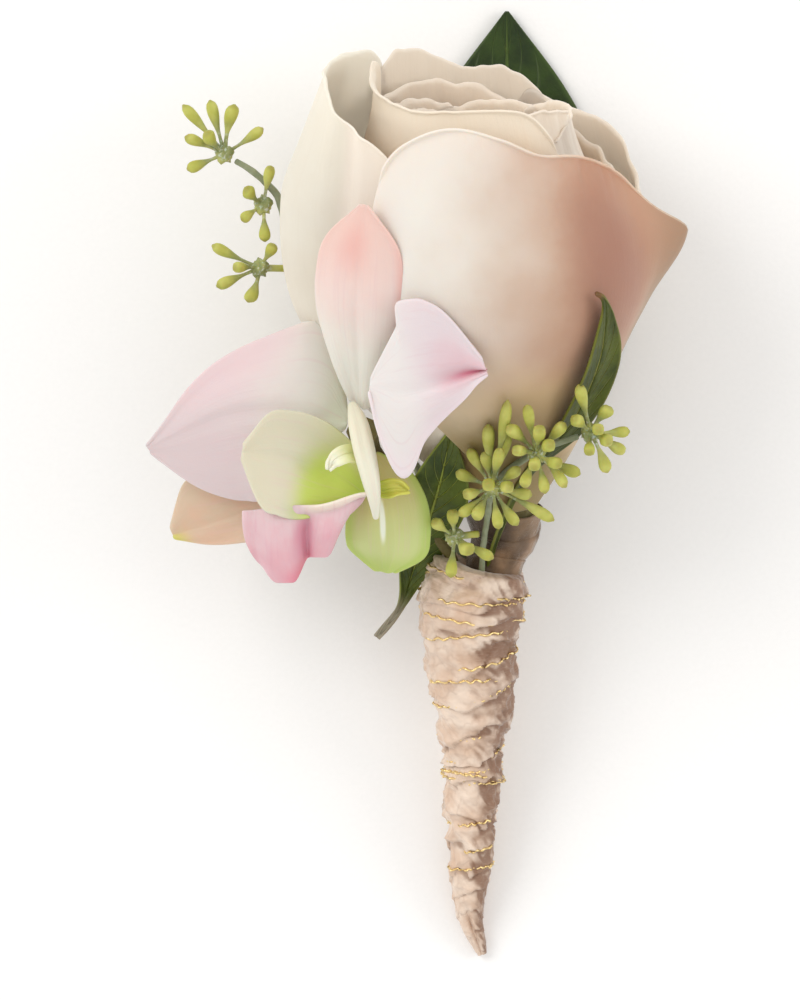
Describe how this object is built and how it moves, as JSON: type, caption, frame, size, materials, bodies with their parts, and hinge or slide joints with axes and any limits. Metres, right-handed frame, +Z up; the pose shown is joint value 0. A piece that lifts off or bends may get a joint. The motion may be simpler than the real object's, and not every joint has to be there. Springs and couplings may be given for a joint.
{
  "type": "boutonniere",
  "caption": "Boutonniere lying on its back: a blush rose with an orchid bloom, seeded eucalyptus and leaves, on a tapering handle bound in satin ribbon and gold wire.",
  "frame": {"origin": "under the middle of the whole object, on the surface it lies on", "axes": "+Y from the handle's tip towards the rose, +Z up from the surface, towards the flowers' faces"},
  "size_m": [0.0682, 0.1222, 0.0493],
  "materials": {
    "rose_petal": "soft petal, cream with blush",
    "orchid_petal": "waxy petal, pale pink",
    "orchid_green": "waxy petal, green",
    "orchid_cream": "waxy, cream",
    "seed_bud": "fresh bud, yellow green",
    "green_stem": "fresh stem, grey green",
    "dark_leaf": "fresh leaf, dark green",
    "satin_ribbon": "satin, nude",
    "florist_tape": "waxed crepe, green",
    "gold_wire": "bright, crinkled",
    "steel_wire": "green lacquered wire"
  },
  "bodies": {
    "root": {"back_leaf": "dark_leaf", "floral_tape": "florist_tape", "florist_wire_left": "steel_wire", "florist_wire_right": "steel_wire", "gold_wire": "gold_wire", "left_buds_low": "seed_bud", "left_buds_middle": "seed_bud", "left_buds_top": "seed_bud", "left_leaf": "dark_leaf", "left_sprig_stem": "green_stem", "orchid_column": "orchid_cream", "orchid_dorsal_sepal": "orchid_petal", "orchid_left_lateral_sepal": "orchid_petal", "orchid_left_petal": "orchid_petal", "orchid_lip": "orchid_petal", "orchid_pedicel": "green_stem", "orchid_right_lateral_sepal": "orchid_green", "orchid_right_petal": "orchid_petal", "ribbon_neck": "satin_ribbon", "ribbon_wrap": "satin_ribbon", "right_buds_low": "seed_bud", "right_buds_middle": "seed_bud", "right_buds_outer": "seed_bud", "right_buds_tip": "seed_bud", "right_leaf": "dark_leaf", "right_sprig_stem": "green_stem", "rose_hip": "green_stem", "rose_outer_petal_1": "rose_petal", "rose_outer_petal_2": "rose_petal", "rose_outer_petal_3": "rose_petal", "rose_outer_petal_4": "rose_petal", "rose_ring2_petal_1": "rose_petal", "rose_ring2_petal_2": "rose_petal", "rose_ring2_petal_3": "rose_petal", "rose_ring2_petal_4": "rose_petal", "rose_ring2_petal_5": "rose_petal", "rose_ring3_petal_1": "rose_petal", "rose_ring3_petal_2": "rose_petal", "rose_ring3_petal_3": "rose_petal", "rose_ring3_petal_4": "rose_petal", "rose_ring3_petal_5": "rose_petal", "rose_ring4_petal_1": "rose_petal", "rose_ring4_petal_2": "rose_petal", "rose_ring4_petal_3": "rose_petal", "rose_ring4_petal_4": "rose_petal", "rose_ring5_petal_1": "rose_petal", "rose_ring5_petal_2": "rose_petal", "rose_ring5_petal_3": "rose_petal", "rose_ring6_petal_1": "rose_petal", "rose_ring6_petal_2": "rose_petal", "rose_stem": "green_stem"}
  },
  "joints": []
}
